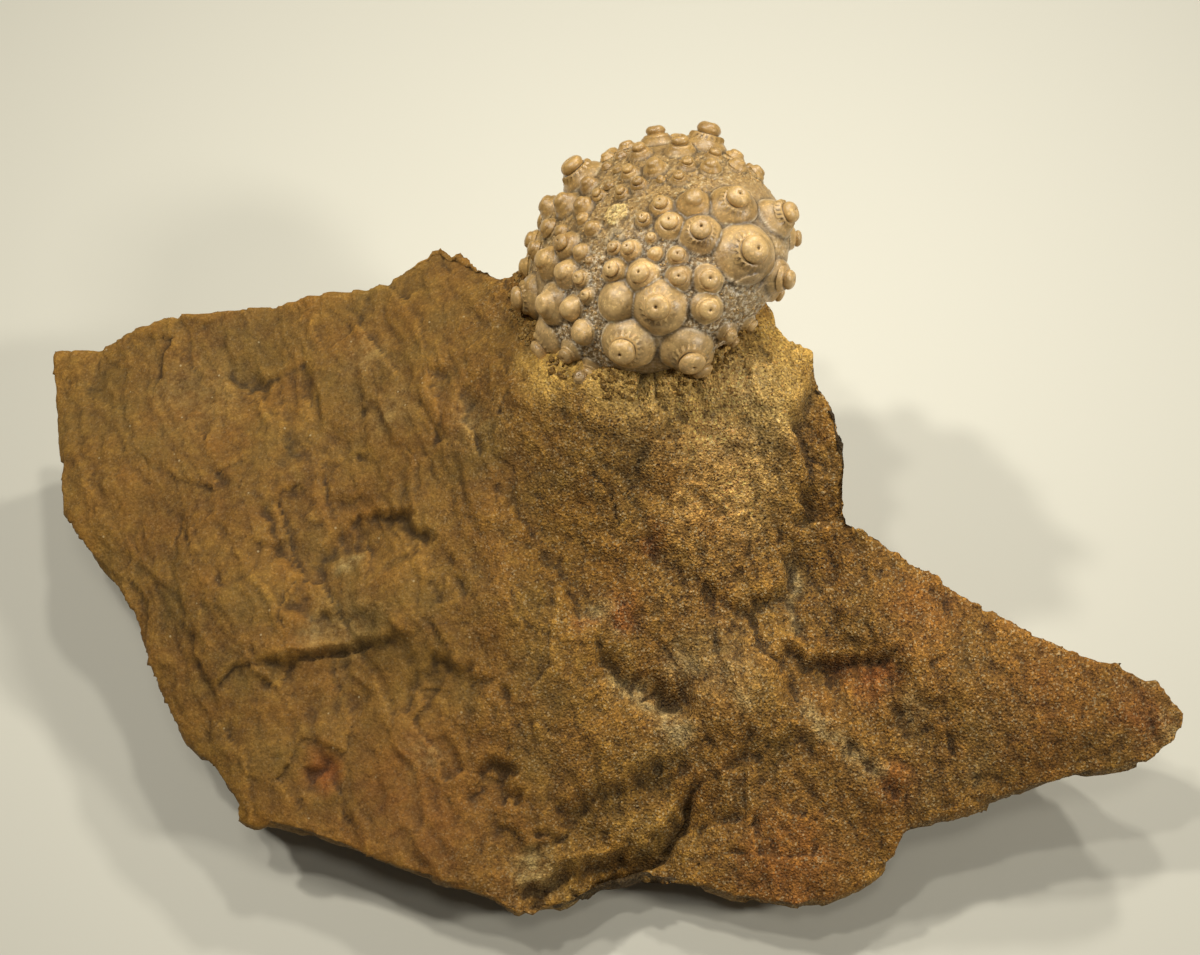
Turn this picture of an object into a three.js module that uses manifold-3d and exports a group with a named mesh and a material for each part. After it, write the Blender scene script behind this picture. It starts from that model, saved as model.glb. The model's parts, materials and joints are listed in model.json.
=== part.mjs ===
// A fossil sea urchin, still seated in the loose slab of sandy limestone that it was found in.
// Millimetres. +Z is up, +X runs to the right along the slab and +Y runs away from its lobed front.
// Places are measured from a datum under the thick part of the slab. The last lines move the whole
// specimen so that its origin is the middle of its box, on the table.
import * as THREE from "three";
import { mergeVertices } from "three/addons/utils/BufferGeometryUtils.js";
import Module from "manifold-3d";

const wasm = await Module();
wasm.setup();

// ---------- Driving dimensions of the urchin's test ----------

const TEST_RADIUS = 18; // from the axis to the widest line, without the knobs
const TEST_HALF_HEIGHT = 10.8; // from the widest line to the pole
const TEST_CENTRE = new THREE.Vector3(7, 18.4, 49.5);
const TEST_POLE = new THREE.Vector3(-0.44, 0, 0.9).normalize(); // the test leans to the left
const TEST_SIDES = 30;
const TEST_RINGS = 14;
const SOCKET_GAP = 0.35; // clearance between the test and the rock that holds it

// Five broad areas carry the large knobs and five narrow areas between them carry the small ones.
// Each area has two columns, and each number is how far a knob is from the pole, in degrees.
const BROAD_SPREAD = 11.5; // degrees from an area's middle line to each of its columns
const NARROW_SPREAD = 5;
const BROAD_AREAS = [
  { bearing: 276, columns: [[16, 27, 42, 67, 99], [20, 34, 52, 88]] },
  { bearing: 348, columns: [[14, 27, 42, 68, 108], [22, 36, 56, 93]] },
  { bearing: 66, columns: [[18, 30, 49, 74, 106], [12, 25, 41, 64, 93]] },
  { bearing: 133, columns: [[18, 31, 48, 75, 104], [21, 36, 58, 90]] },
  { bearing: 203, columns: [[12, 27, 40, 68, 99], [22, 34, 53, 86]] },
];
const NARROW_AREAS = [
  { bearing: 311, columns: [[29, 46, 69, 95], [38, 58, 82, 106]] },
  { bearing: 33, columns: [[33, 51, 75, 97], [42, 66, 86, 106]] },
  { bearing: 98, columns: [[38, 60, 84, 105], [30, 48, 72, 95]] },
  { bearing: 168, columns: [[42, 64, 87, 107], [33, 53, 76, 98]] },
  { bearing: 236, columns: [[31, 48, 76, 100], [39, 59, 87, 108]] },
];
const LOWEST_KNOB = 118; // degrees from the pole; the hidden ones past this are left out
const BELOW_STEP = 22; // degrees between knobs under the widest line

// A knob's outline, in knob radii: a cone-shaped boss that carries a round ball.
const BROAD_KNOB = [[0, -0.7], [2.1, -0.7], [1.2, 1], [1, 1.6], [0, 2.1]];
const NARROW_KNOB = [[0, -0.6], [1.9, -0.6], [1, 1.2], [0, 1.8]];
const BROAD_KNOB_SIDES = 6;
const NARROW_KNOB_SIDES = 4;

// ---------- Driving dimensions of the slab ----------

// The rim of the slab, clockwise from above, starting at the left tip: [x, y, height of the rim].
const RIM = [
  [-84, 23, 19], [-76, 22.5, 20], [-71, 25, 22], [-64, 26, 25], [-57, 26, 26], [-47, 26, 28],
  [-39, 26, 30], [-34, 26, 31], [-30.5, 28, 33], [-24, 31, 36], [-19, 27, 38], [-14, 21.5, 41],
  [-10, 24.5, 41.5], [-3, 28.5, 42], [6, 31, 42.5], [15, 29, 43], [21, 23, 43.5], [24, 15, 43.5],
  [26, 9, 43.5], [30, 7.5, 43], [30, 4.5, 41], [32.5, 0, 40], [34, -6, 38], [34, -13, 33],
  [42, -17.5, 30], [50, -23, 28], [58, -28, 27], [65, -31, 26], [73, -32.5, 25], [78, -36, 24],
  [81, -38.5, 22], [80, -42, 21], [76, -45, 19], [66, -46, 18], [55, -49, 16], [42, -53, 14],
  [41, -56, 12], [34.5, -60, 10.5], [27.5, -62.5, 10], [19, -61, 10], [12.5, -59, 10.5],
  [5.5, -57.5, 9.5], [0, -59, 9.5], [-5.5, -62, 10.5], [-12, -64, 12], [-15, -62, 13],
  [-22, -60, 14], [-30, -57, 14], [-41, -53, 14], [-49, -51, 14], [-54, -43.5, 15],
  [-58, -40, 15], [-61.5, -34, 16], [-65, -27, 17], [-67.5, -21, 18], [-73, -14, 18],
  [-79, -5, 19], [-80, 2, 19], [-82, 10.5, 19],
];

// Heights of the upper face inside the rim: [x, y, height].
const UPPER_FACE = {
  seat: [[-8, 1, 44], [0, -1, 44.5], [8, -3, 44.5], [17, -1, 45], [26, 2, 44.5], [6, 12, 44.5], [-6, 16, 42]],
  seatEdge: [[-2, -5, 43], [5, -6, 43.5], [14, -5, 43.5]],
  ridge: [[-25, 25, 36], [-19, 17, 39], [-16, 7, 40.5], [-14, -1, 40], [-11, -8, 36.5], [-6, -18, 31.5]],
  blockFace: [[3, -12, 37], [14, -10, 38], [26, -7, 38], [6, -20, 31], [14, -23, 28.5], [22, -22, 28]],
  leftFace: [
    [-72, 13, 21.5], [-60, 14, 24.5], [-44, 17, 28.5], [-31, 20, 32.5], [-74, 2, 21.5], [-58, 0, 25],
    [-43, 1, 28.5], [-28, -1, 32.5], [-68, -12, 20], [-54, -16, 23.5], [-36, -9, 25.5],
    [-27, -11, 29.5], [-20, -19, 30], [-28, -23, 28], [-12, -28, 28.5],
  ],
  lowerLeft: [
    [-56, -29, 19.5], [-42, -30, 23], [-38, -34, 20], [-28, -31, 26], [-22, -36, 23.5],
    [-47, -44, 17.5], [-35, -48, 16.5], [-22, -47, 18.5], [-12, -40, 23], [-4, -36, 25],
  ],
  front: [
    [0, -27, 29], [0, -42, 21], [8, -34, 20.5], [9, -41, 19.5], [0, -50, 15.5], [-6, -57, 13],
    [11, -51, 14.5], [22, -55, 13.5], [34, -55, 13.5], [28, -48, 16.5],
  ],
  step: [[17, -31, 25.5], [24, -30, 26.5], [19, -40, 22.5], [28, -37, 23.5], [33, -46, 18.5]],
  wing: [
    [31, -18, 28], [36, -26, 27.5], [33, -32, 22.5], [41, -33, 26.5], [37, -41, 20.5], [42, -48, 17],
    [49, -38, 24.5], [54, -46, 19.5], [62, -38, 24], [71, -40, 22.5],
  ],
};
const FACE_SOFTNESS = 2; // mm over which the face rounds off at a stated height
const FACE_GRID = 4; // mm between the points of the upper face
const BELOW_ALL = -4; // lower than the table, where the block of the upper face starts
const ABOVE_ALL = 90; // higher than any part of the slab

// The slab's side and underside: each ring is the rim drawn in towards the hull's middle,
// at a share of the height that the rim stands at, less the thickness of its broken edge.
const HULL_MIDDLE = [5, -25];
const EDGE_THICKNESS = 5;
const HULL_RINGS = [
  { inward: 0, share: 0 },
  { inward: 0.64, share: 0 },
  { inward: 0.85, share: 0.38 },
  { inward: 0.965, share: 1 },
];

// ---------- Solids ----------

// A closed three.js geometry as a manifold-3d solid.
function solidOf(geometry) {
  const bare = geometry.clone();
  bare.deleteAttribute("normal");
  bare.deleteAttribute("uv");
  const merged = mergeVertices(bare, 1e-4);
  return new wasm.Manifold(
    new wasm.Mesh({
      numProp: 3,
      vertProperties: merged.attributes.position.array,
      triVerts: new Uint32Array(merged.index.array),
    }),
  );
}

// A manifold-3d solid as a three.js geometry with flat faces.
function geometryOf(solid) {
  const mesh = solid.getMesh();
  const geometry = new THREE.BufferGeometry();
  geometry.setAttribute("position", new THREE.BufferAttribute(mesh.vertProperties, mesh.numProp));
  geometry.setIndex(new THREE.BufferAttribute(mesh.triVerts, 1));
  geometry.computeVertexNormals();
  return geometry;
}

// ---------- The urchin's test ----------

// A point of the test, and the direction that it faces, in the test's own frame with the pole along +Z.
function testPoint(fromPole, bearing) {
  const polar = THREE.MathUtils.degToRad(fromPole);
  const around = THREE.MathUtils.degToRad(bearing);
  const outward = new THREE.Vector3(
    Math.sin(polar) * Math.cos(around),
    Math.sin(polar) * Math.sin(around),
    Math.cos(polar),
  );
  const size = new THREE.Vector3(TEST_RADIUS, TEST_RADIUS, TEST_HALF_HEIGHT);
  return { point: outward.clone().multiply(size), facing: outward.clone().divide(size).normalize() };
}

// The radius of a knob's ball: small near the pole, largest at the widest line, smaller below it.
function knobRadius(fromPole, smallest, growth) {
  const below = Math.max(0, fromPole - 95) / 60;
  return (smallest + growth * Math.sin(THREE.MathUtils.degToRad(fromPole)) ** 0.85) * (1 - 0.45 * below);
}

function knob(outline, sides, radius, fromPole, bearing, grown) {
  const profile = outline.map(([across, up], i) => {
    const isOnAxis = i === 0 || i === outline.length - 1;
    return new THREE.Vector2(isOnAxis ? 0 : across * radius + grown, up * radius + (up > 0 ? grown : 0));
  });
  const { point, facing } = testPoint(fromPole, bearing);
  const turn = new THREE.Quaternion().setFromUnitVectors(new THREE.Vector3(0, 1, 0), facing);
  return solidOf(new THREE.LatheGeometry(profile, sides).applyQuaternion(turn).translate(...point));
}

// A column's stated knobs, then the ones below the widest line.
function columnPlaces(stated) {
  const places = [...stated];
  while (places.at(-1) + BELOW_STEP < LOWEST_KNOB) places.push(places.at(-1) + BELOW_STEP);
  return places;
}

function knobsOf(areas, spread, outline, sides, smallest, growth, grown) {
  return areas.flatMap(({ bearing, columns }) =>
    columns.flatMap((stated, side) =>
      columnPlaces(stated).map((fromPole) => {
        const radius = knobRadius(fromPole, smallest, growth);
        return knob(outline, sides, radius, fromPole, bearing + (side ? spread : -spread), grown);
      }),
    ),
  );
}

// The whole test in its own frame. A grown one, larger all over, cuts the socket in the rock.
function testSolid(grown) {
  const profile = Array.from({ length: TEST_RINGS + 1 }, (_, i) => {
    const polar = Math.PI * (1 - i / TEST_RINGS);
    const isPole = i === 0 || i === TEST_RINGS;
    const across = isPole ? 0 : (TEST_RADIUS + grown) * Math.sin(polar);
    return new THREE.Vector2(across, (TEST_HALF_HEIGHT + grown) * Math.cos(polar));
  });
  const body = solidOf(new THREE.LatheGeometry(profile, TEST_SIDES).rotateX(Math.PI / 2));
  const broad = knobsOf(BROAD_AREAS, BROAD_SPREAD, BROAD_KNOB, BROAD_KNOB_SIDES, 0.35, 1.5, grown);
  const narrow = knobsOf(NARROW_AREAS, NARROW_SPREAD, NARROW_KNOB, NARROW_KNOB_SIDES, 0.3, 1, grown);
  return [...broad, ...narrow].reduce((test, one) => test.add(one), body);
}

// Where the test sits: its pole leans, and its own X axis keeps to the slab's X as nearly as it can.
function testPlace() {
  const acrossSlab = new THREE.Vector3(1, 0, 0);
  const ownX = acrossSlab.addScaledVector(TEST_POLE, -TEST_POLE.x).normalize();
  const ownY = new THREE.Vector3().crossVectors(TEST_POLE, ownX);
  return new THREE.Matrix4().makeBasis(ownX, ownY, TEST_POLE).setPosition(TEST_CENTRE);
}

// ---------- The slab ----------

// Solves a square set of linear equations by elimination. Each row ends with its right-hand side.
function solved(rows) {
  const n = rows.length;
  for (let i = 0; i < n; i++) {
    let best = i;
    for (let r = i + 1; r < n; r++) if (Math.abs(rows[r][i]) > Math.abs(rows[best][i])) best = r;
    [rows[i], rows[best]] = [rows[best], rows[i]];
    for (let r = i + 1; r < n; r++) {
      const share = rows[r][i] / rows[i][i];
      for (let c = i; c <= n; c++) rows[r][c] -= share * rows[i][c];
    }
  }
  const answer = new Array(n).fill(0);
  for (let i = n - 1; i >= 0; i--) {
    let rest = rows[i][n];
    for (let c = i + 1; c < n; c++) rest -= rows[i][c] * answer[c];
    answer[i] = rest / rows[i][i];
  }
  return answer;
}

// A smooth height for any place on the slab that passes through every stated height.
function heightOver(stated) {
  const reach = (ax, ay, bx, by) => Math.hypot(ax - bx, ay - by, FACE_SOFTNESS);
  const middle = stated.reduce((sum, [, , z]) => sum + z, 0) / stated.length;
  const rows = stated.map(([x, y, z]) => [...stated.map(([px, py]) => reach(x, y, px, py)), z - middle]);
  const weights = solved(rows);
  return (x, y) => stated.reduce((z, [px, py], i) => z + weights[i] * reach(x, y, px, py), middle);
}

// A block whose top follows the slab's upper face.
function upperFaceSolid() {
  const height = heightOver([...RIM, ...Object.values(UPPER_FACE).flat()]);
  const across = new THREE.Box2().setFromPoints(RIM.map(([x, y]) => new THREE.Vector2(x, y)));
  across.expandByScalar(FACE_GRID);
  const size = across.getSize(new THREE.Vector2());
  const centre = across.getCenter(new THREE.Vector2());
  const steps = size.clone().divideScalar(FACE_GRID).round();
  const block = new THREE.BoxGeometry(size.x, size.y, 2, steps.x, steps.y, 1);
  block.translate(centre.x, centre.y, 0);
  const places = block.attributes.position;
  for (let i = 0; i < places.count; i++) {
    const isTop = places.getZ(i) > 0;
    places.setZ(i, isTop ? height(places.getX(i), places.getY(i)) : BELOW_ALL);
  }
  return solidOf(block);
}

// A hull whose rings follow the rim: flat where it rests, flaring out to the broken edge, then straight up.
function hullSolid() {
  const levels = [
    ...HULL_RINGS.map(({ inward, share }) => ({ inward, height: (rim) => share * (rim - EDGE_THICKNESS) })),
    { inward: 1, height: (rim) => rim - EDGE_THICKNESS / 3 },
    { inward: 1, height: () => ABOVE_ALL },
    { inward: 0, height: () => ABOVE_ALL },
  ];
  const profile = levels.map(({ inward }, level) => new THREE.Vector2(inward, level));
  const hull = new THREE.LatheGeometry(profile, RIM.length);
  const places = hull.attributes.position;
  for (let i = 0; i < places.count; i++) {
    const [x, y, rim] = RIM.at(-(Math.floor(i / levels.length) % RIM.length)); // anticlockwise
    const { inward, height } = levels[i % levels.length];
    const reachX = HULL_MIDDLE[0] + (x - HULL_MIDDLE[0]) * inward;
    const reachY = HULL_MIDDLE[1] + (y - HULL_MIDDLE[1]) * inward;
    places.setXYZ(i, reachX, reachY, height(rim));
  }
  return solidOf(hull);
}

// ---------- The specimen ----------

const test = testSolid(0);
const socket = solidOf(geometryOf(testSolid(SOCKET_GAP)).applyMatrix4(testPlace()));
const slab = upperFaceSolid().intersect(hullSolid()).subtract(socket);

const sandstone = new THREE.MeshStandardMaterial({ color: 0x7d5c33, roughness: 0.95, metalness: 0 });
const calcite = new THREE.MeshStandardMaterial({ color: 0xab8d6d, roughness: 0.6, metalness: 0 });

const matrix = new THREE.Mesh(geometryOf(slab), sandstone);
matrix.name = "matrix";

const seaUrchin = new THREE.Mesh(geometryOf(test), calcite);
seaUrchin.name = "sea_urchin";
seaUrchin.applyMatrix4(testPlace());

const specimen = new THREE.Group();
specimen.add(matrix, seaUrchin);

// The origin is the middle of the specimen's box, on the table.
specimen.updateMatrixWorld(true);
const box = new THREE.Box3().setFromObject(specimen, true);
const middle = box.getCenter(new THREE.Vector3());
specimen.position.set(-middle.x, -middle.y, -box.min.z);

export default specimen;
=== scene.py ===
# %% [markdown]
# # A fossil sea urchin on its piece of rock
#
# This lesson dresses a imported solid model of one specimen: the round, knobbly test of a sea urchin that
# turned to stone, still seated on the loose slab of sandy limestone that it was found in. The packed
# model settles where everything is and how big it is. Here each of its two plain solids gets the surface
# of the real thing: broken, gritty rock, and a smooth, waxy test with balls, bosses and crusty seams.

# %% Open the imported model
import json
import math
import random

import bmesh
import bpy
import numpy as np
from mathutils import Matrix, Vector, noise
from mathutils.bvhtree import BVHTree

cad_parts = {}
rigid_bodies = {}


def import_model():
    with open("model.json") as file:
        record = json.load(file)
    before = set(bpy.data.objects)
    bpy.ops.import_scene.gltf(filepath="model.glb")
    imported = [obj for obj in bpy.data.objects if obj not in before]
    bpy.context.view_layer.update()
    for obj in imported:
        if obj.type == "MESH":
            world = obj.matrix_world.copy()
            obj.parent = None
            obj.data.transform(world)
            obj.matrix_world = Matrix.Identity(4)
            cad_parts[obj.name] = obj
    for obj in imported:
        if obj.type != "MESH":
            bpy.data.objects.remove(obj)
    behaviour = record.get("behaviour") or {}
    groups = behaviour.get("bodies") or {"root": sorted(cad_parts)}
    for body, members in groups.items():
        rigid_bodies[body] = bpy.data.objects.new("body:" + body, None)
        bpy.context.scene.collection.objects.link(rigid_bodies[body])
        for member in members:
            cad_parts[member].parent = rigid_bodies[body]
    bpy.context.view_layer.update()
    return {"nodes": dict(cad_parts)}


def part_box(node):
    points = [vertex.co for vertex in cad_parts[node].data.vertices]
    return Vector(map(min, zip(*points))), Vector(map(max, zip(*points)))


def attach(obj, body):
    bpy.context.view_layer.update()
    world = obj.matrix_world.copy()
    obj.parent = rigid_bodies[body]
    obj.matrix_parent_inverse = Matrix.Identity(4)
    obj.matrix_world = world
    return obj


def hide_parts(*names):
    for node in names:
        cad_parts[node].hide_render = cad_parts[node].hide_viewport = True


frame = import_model()
# Noise vectors start from the clock unless they are given a seed.
NOISE_SEED = 5
noise.seed_set(NOISE_SEED)
print("packed solids:", sorted(frame["nodes"]))

# %% [markdown]
# ## Measures
#
# Blender works in metres, but a fossil is easier to think about in millimetres. Every place below is
# given in millimetres from one datum under the thick part of the slab. The datum is found from the
# slab's own box: it lies 84 mm to the right of the slab's left tip and 64 mm behind its front edge.

# %% The datum and the test's own axes
MM = 0.001
SLAB_LOW = np.array(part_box("matrix")[0]) / MM
DATUM = np.array([SLAB_LOW[0] + 84, SLAB_LOW[1] + 64, 0.0])

TEST_RADIUS = 18.0
TEST_HALF_HEIGHT = 10.8
TEST_SIZE = np.array([TEST_RADIUS, TEST_RADIUS, TEST_HALF_HEIGHT])
TEST_CENTRE = np.array([7.0, 18.4, 49.5])
POLE = Vector((-0.44, 0, 0.9)).normalized()
OWN_X = (Vector((1, 0, 0)) - POLE * POLE.x).normalized()
OWN_Y = POLE.cross(OWN_X)
TEST_AXES = np.array([OWN_X, OWN_Y, POLE])


def to_metres(places):
    """Places in millimetres from the datum, as metres in the model's frame."""
    return (np.asarray(places) + DATUM) * MM


def from_metres(places):
    return np.asarray(places) / MM - DATUM


print("datum, mm from the model's origin:", DATUM.round(2))

# %% [markdown]
# ## Camera, floor and light
#
# The specimen is seen from its front and well above, 60 degrees over the table. Six soft lamps stand
# behind it, to the left, to the right and overhead, so the knobs catch light on their far sides and the
# slab's shadow spreads on the floor towards the viewer. A pale floor fills the rest of the view.

# %% Camera
VIEW_DISTANCE = 320
VIEW_RISE = math.radians(60)
VIEW_TARGET = np.array([0, 0, 20.0])
LENS = 65
SENSOR_WIDTH = 36
NEAREST_SEEN = 0.01


def add_object(name, data):
    """A new object, linked to the scene."""
    made = bpy.data.objects.new(name, data)
    bpy.context.scene.collection.objects.link(made)
    return made


def make_camera():
    data = bpy.data.cameras.new("camera")
    data.lens = LENS
    data.sensor_width = SENSOR_WIDTH
    data.clip_start = NEAREST_SEEN
    camera = add_object("camera", data)
    back = np.array([0, -math.cos(VIEW_RISE), math.sin(VIEW_RISE)])
    camera.location = to_metres(VIEW_TARGET + VIEW_DISTANCE * back)
    camera.rotation_euler = (math.pi / 2 - VIEW_RISE, 0, 0)
    bpy.context.scene.camera = camera
    return camera


camera = make_camera()
print("camera at", tuple(round(v, 3) for v in camera.location))

# %% Floor and lamps
FLOOR_SIZE = 6.0
FLOOR_COLOUR = (0.61, 0.59, 0.51, 1)
LAMP_COLOUR = (1, 0.97, 0.88)
LAMP_SPREAD = math.radians(66)
LIT_POINT = Vector((0.01, 0.05, 0.03))
LAMP_DISTANCE = 0.6
# Each lamp is (name, direction from the specimen, width in metres, power in watts).
LAMPS = [
    ("lamp_left_low", (-0.57, 0.21, 0.79), 0.035, 0.19),
    ("lamp_left_high", (-0.30, 0.02, 0.95), 0.035, 0.09),
    ("lamp_back", (0.10, 0.45, 0.89), 0.05, 0.13),
    ("lamp_back_right", (0.35, 0.60, 0.70), 0.05, 0.18),
    ("lamp_right", (0.74, -0.32, 0.60), 0.07, 0.19),
    ("lamp_front", (0.00, -0.30, 0.95), 0.09, 0.055),
]
ROOM_COLOUR = (1, 0.97, 0.9, 1)
ROOM_LIGHT = 0.05


def wear(piece, material):
    """Gives a piece one material."""
    piece.data.materials.clear()
    piece.data.materials.append(material)


def new_material(name, colour, roughness):
    """A material with one Principled shader. Returns it with its node tree and shader."""
    material = bpy.data.materials.new(name)
    material.use_nodes = True
    shader = material.node_tree.nodes["Principled BSDF"]
    shader.inputs["Base Color"].default_value = colour
    shader.inputs["Roughness"].default_value = roughness
    return material, material.node_tree, shader


def mesh_of(shape, name):
    """Turns a bmesh into a mesh, and frees it."""
    mesh = bpy.data.meshes.new(name)
    shape.to_mesh(mesh)
    shape.free()
    return mesh


def make_floor():
    shape = bmesh.new()
    bmesh.ops.create_grid(shape, x_segments=1, y_segments=1, size=FLOOR_SIZE / 2)
    floor = add_object("floor", mesh_of(shape, "floor"))
    wear(floor, new_material("pale_floor", FLOOR_COLOUR, 0.6)[0])
    return floor


def make_lamp(name, towards, size, power):
    """A square soft lamp, in a direction from the specimen, that faces it."""
    data = bpy.data.lights.new(name, "AREA")
    data.size = size
    data.spread = LAMP_SPREAD
    data.energy = power
    data.color = LAMP_COLOUR
    lamp = add_object(name, data)
    lamp.location = LIT_POINT + Vector(towards).normalized() * LAMP_DISTANCE
    lamp.rotation_euler = Vector(towards).to_track_quat("Z", "Y").to_euler()
    return lamp


def make_world():
    world = bpy.data.worlds.new("room")
    world.use_nodes = True
    world.node_tree.nodes["Background"].inputs["Color"].default_value = ROOM_COLOUR
    world.node_tree.nodes["Background"].inputs["Strength"].default_value = ROOM_LIGHT
    bpy.context.scene.world = world


make_floor()
make_world()
for lamp_values in LAMPS:
    make_lamp(*lamp_values)
bpy.context.scene.view_settings.view_transform = "Standard"
print("lamps:", len(LAMPS))

# %% [markdown]
# ## Ways of working on a mesh
#
# A broken rock has no edges worth modelling one by one. It is rougher work: take the plain solid, turn
# its skin into small even faces, and push the points about, as a sculptor would. These helpers copy a
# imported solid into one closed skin, give it even faces, and read and write its points as arrays.


# %% Skins
def closed_copy(node_name, piece_name):
    """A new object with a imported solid's shape, its loose triangles merged into one closed skin."""
    skin = bmesh.new()
    skin.from_mesh(frame["nodes"][node_name].data)
    bmesh.ops.remove_doubles(skin, verts=skin.verts, dist=0.01 * MM)
    return as_object(skin, piece_name)


def as_object(skin, name):
    """Turns a bmesh into an object with smooth faces."""
    for face in skin.faces:
        face.smooth = True
    return add_object(name, mesh_of(skin, name))


def remesh(piece, face_size):
    """Covers a closed piece with even faces of one size, in millimetres."""
    modifier = piece.modifiers.new("even_faces", "REMESH")
    modifier.mode = "VOXEL"
    modifier.voxel_size = face_size * MM
    depsgraph = bpy.context.evaluated_depsgraph_get()
    piece.data = bpy.data.meshes.new_from_object(piece.evaluated_get(depsgraph))
    piece.modifiers.clear()


def points_of(piece):
    """The piece's points in millimetres from the datum, and the way that each one faces."""
    mesh = piece.data
    places = np.empty(len(mesh.vertices) * 3)
    facing = np.empty(len(mesh.vertices) * 3)
    mesh.vertices.foreach_get("co", places)
    mesh.vertices.foreach_get("normal", facing)
    return from_metres(places.reshape(-1, 3)), facing.reshape(-1, 3)


def set_points(piece, places):
    piece.data.vertices.foreach_set("co", to_metres(places).ravel())
    piece.data.update()


def set_mask(piece, name, values):
    """Stores one number a point, from 0 to 1, for the material to read."""
    layer = piece.data.attributes.get(name) or piece.data.attributes.new(name, "FLOAT", "POINT")
    layer.data.foreach_set("value", np.clip(values, 0, 1).astype(np.float32))


def set_levels(piece, **levels):
    """Stores one number for every point of a piece, for each mask named."""
    for name, level in levels.items():
        set_mask(piece, name, np.full(len(piece.data.vertices), level))


def smooth_step(low, high, values):
    t = np.clip((values - low) / (high - low), 0, 1)
    return t * t * (3 - 2 * t)


def neighbour_mean(piece, values):
    """Each point's value averaged with its neighbours'."""
    edges = np.empty(len(piece.data.edges) * 2, np.int64)
    piece.data.edges.foreach_get("vertices", edges)
    a, b = edges[0::2], edges[1::2]
    count = np.bincount(edges, minlength=len(values))
    values = values.reshape(len(values), -1)
    total = np.stack(
        [np.bincount(a, v[b], len(v)) + np.bincount(b, v[a], len(v)) for v in values.T], axis=1
    )
    return np.squeeze(total / np.maximum(count, 1)[:, None])


# %% Patterns in space
def fractal(places, size, octaves, seed):
    """Cloudy noise from about -1 to 1 whose largest lumps are about `size` millimetres across."""
    shift = Vector((seed * 17.3, seed * 5.1, seed * 9.7))
    scaled = places / size
    return np.array([noise.fractal(Vector(p) + shift, 0.9, 2.1, octaves) for p in scaled])


def chipped(places, size, seed):
    """Flat chips, about `size` across, each tilted its own way: heights from about -1 to 1."""
    shift = Vector((seed * 13.1, seed * 8.3, seed * 4.9))
    heights = np.empty(len(places))
    for i, p in enumerate(places / size):
        at = Vector(p) + shift
        near = noise.voronoi(at)[1][0]
        tilt = noise.noise_vector(near * 7.7) * 1.6
        heights[i] = tilt.dot(at - near) + noise.noise(near * 3.1) * 0.6
    return heights

# %% [markdown]
# ## The rock
#
# The slab is sandy limestone that split along uneven faces. Its big shape comes from the imported solid.
# Over that go slow swells, thin layers that crop out one after another, chips of several sizes, and
# grit. The broken sides show level beds. The left end is worn smooth, and the right end is fresh and
# rough. Ledges and cracks follow given paths made crooked by noise, because a real break
# wanders. The socket is drawn in to the test, and a low crust is raised round it. Only the upper faces
# get the finest faces, to keep the mesh light.

# %% Blank of the rock
ROCK_FACE = 0.92
FINE_FACING = 0.12


def fine_faces_above(piece):
    """Cuts each face that faces up into four, away from the hidden seat of the test."""
    skin = bmesh.new()
    skin.from_mesh(piece.data)
    seat = Vector(to_metres(TEST_CENTRE))
    chosen = set()
    for face in skin.faces:
        is_hidden = (face.calc_center_median() - seat).length < (TEST_RADIUS - 3) * MM
        if face.normal.z > FINE_FACING and not is_hidden:
            chosen.update(face.edges)
    bmesh.ops.subdivide_edges(skin, edges=list(chosen), cuts=1, use_grid_fill=True)
    skin.to_mesh(piece.data)
    skin.free()
    for face in piece.data.polygons:
        face.use_smooth = True


SOCKET_GAP = 0.7
NEAR_SOCKET = 1.45
SEAT = 0.99
CRUST_LIFT = 1.5
CRUST_WIDTH = 2.2


def from_test(places):
    """How far each place is from the middle of the test, where 1 is the bare test's skin."""
    return np.linalg.norm((places - TEST_CENTRE) @ TEST_AXES.T / TEST_SIZE, axis=1)


def close_socket(piece):
    """Draws the walls of the socket in to the bare test, so that no pit is left beside its knobs."""
    solid = frame["nodes"]["sea_urchin"].data
    tree = BVHTree.FromPolygons([v.co for v in solid.vertices], [p.vertices for p in solid.polygons])
    places, _ = points_of(piece)
    own = (places - TEST_CENTRE) @ TEST_AXES.T / TEST_SIZE
    away = np.linalg.norm(own, axis=1)
    for i in np.nonzero(away < NEAR_SOCKET)[0]:
        if tree.find_nearest(Vector(to_metres(places[i])), SOCKET_GAP * MM)[0] is not None:
            places[i] = TEST_CENTRE + (own[i] / away[i] * SEAT * TEST_SIZE) @ TEST_AXES
    rim = np.clip((away - 1) * TEST_HALF_HEIGHT, 0, None)
    is_outside = away > 1.0
    places[:, 2] += np.where(is_outside, CRUST_LIFT * np.exp(-((rim / CRUST_WIDTH) ** 2)), 0)
    set_points(piece, places)


rock = closed_copy("matrix", "rock")
remesh(rock, ROCK_FACE)
fine_faces_above(rock)
close_socket(rock)
print("rock blank:", len(rock.data.vertices), "points", len(rock.data.polygons), "faces")

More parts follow.
